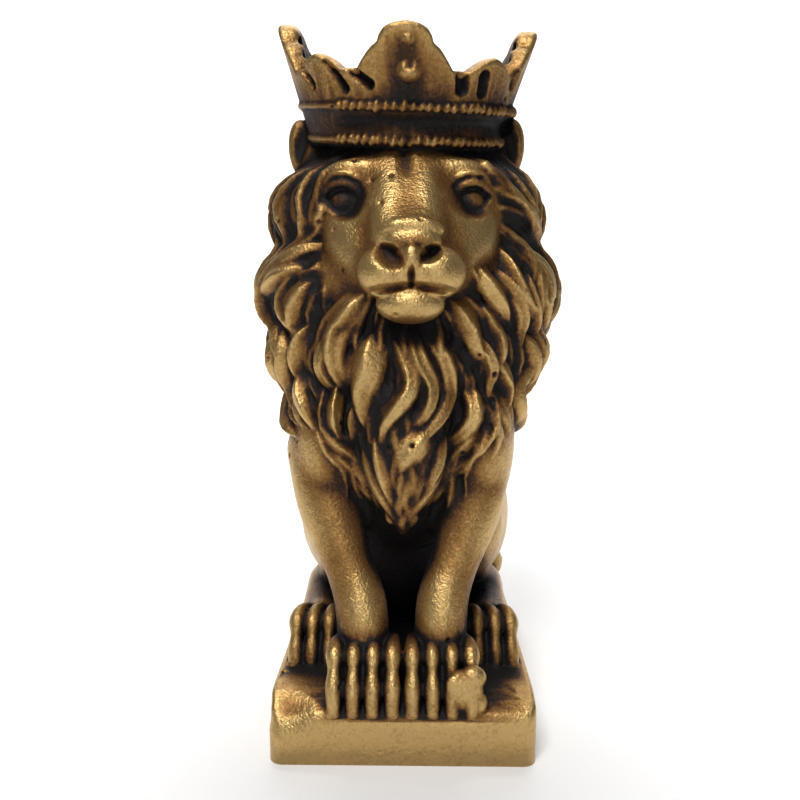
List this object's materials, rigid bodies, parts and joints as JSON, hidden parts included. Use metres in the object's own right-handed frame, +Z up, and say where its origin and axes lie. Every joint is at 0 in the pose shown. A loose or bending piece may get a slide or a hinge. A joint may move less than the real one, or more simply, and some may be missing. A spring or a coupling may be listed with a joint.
{
  "type": "seated lion statue",
  "caption": "Seated lion wearing an open crown, with a full curling mane and slender clawed paws, cast in one with a low block plinth.",
  "frame": {"origin": "middle of the plinth's flat underside", "axes": "+Z up, the lion looks along -Y, +X to the right of someone who looks at its face"},
  "size_m": [0.0987, 0.1129, 0.219],
  "materials": {
    "antique_gold": "cast resin painted antique gold, with a dark brown wash left in the hollows"
  },
  "bodies": {
    "root": {"lion_statue": "antique_gold"}
  },
  "joints": []
}
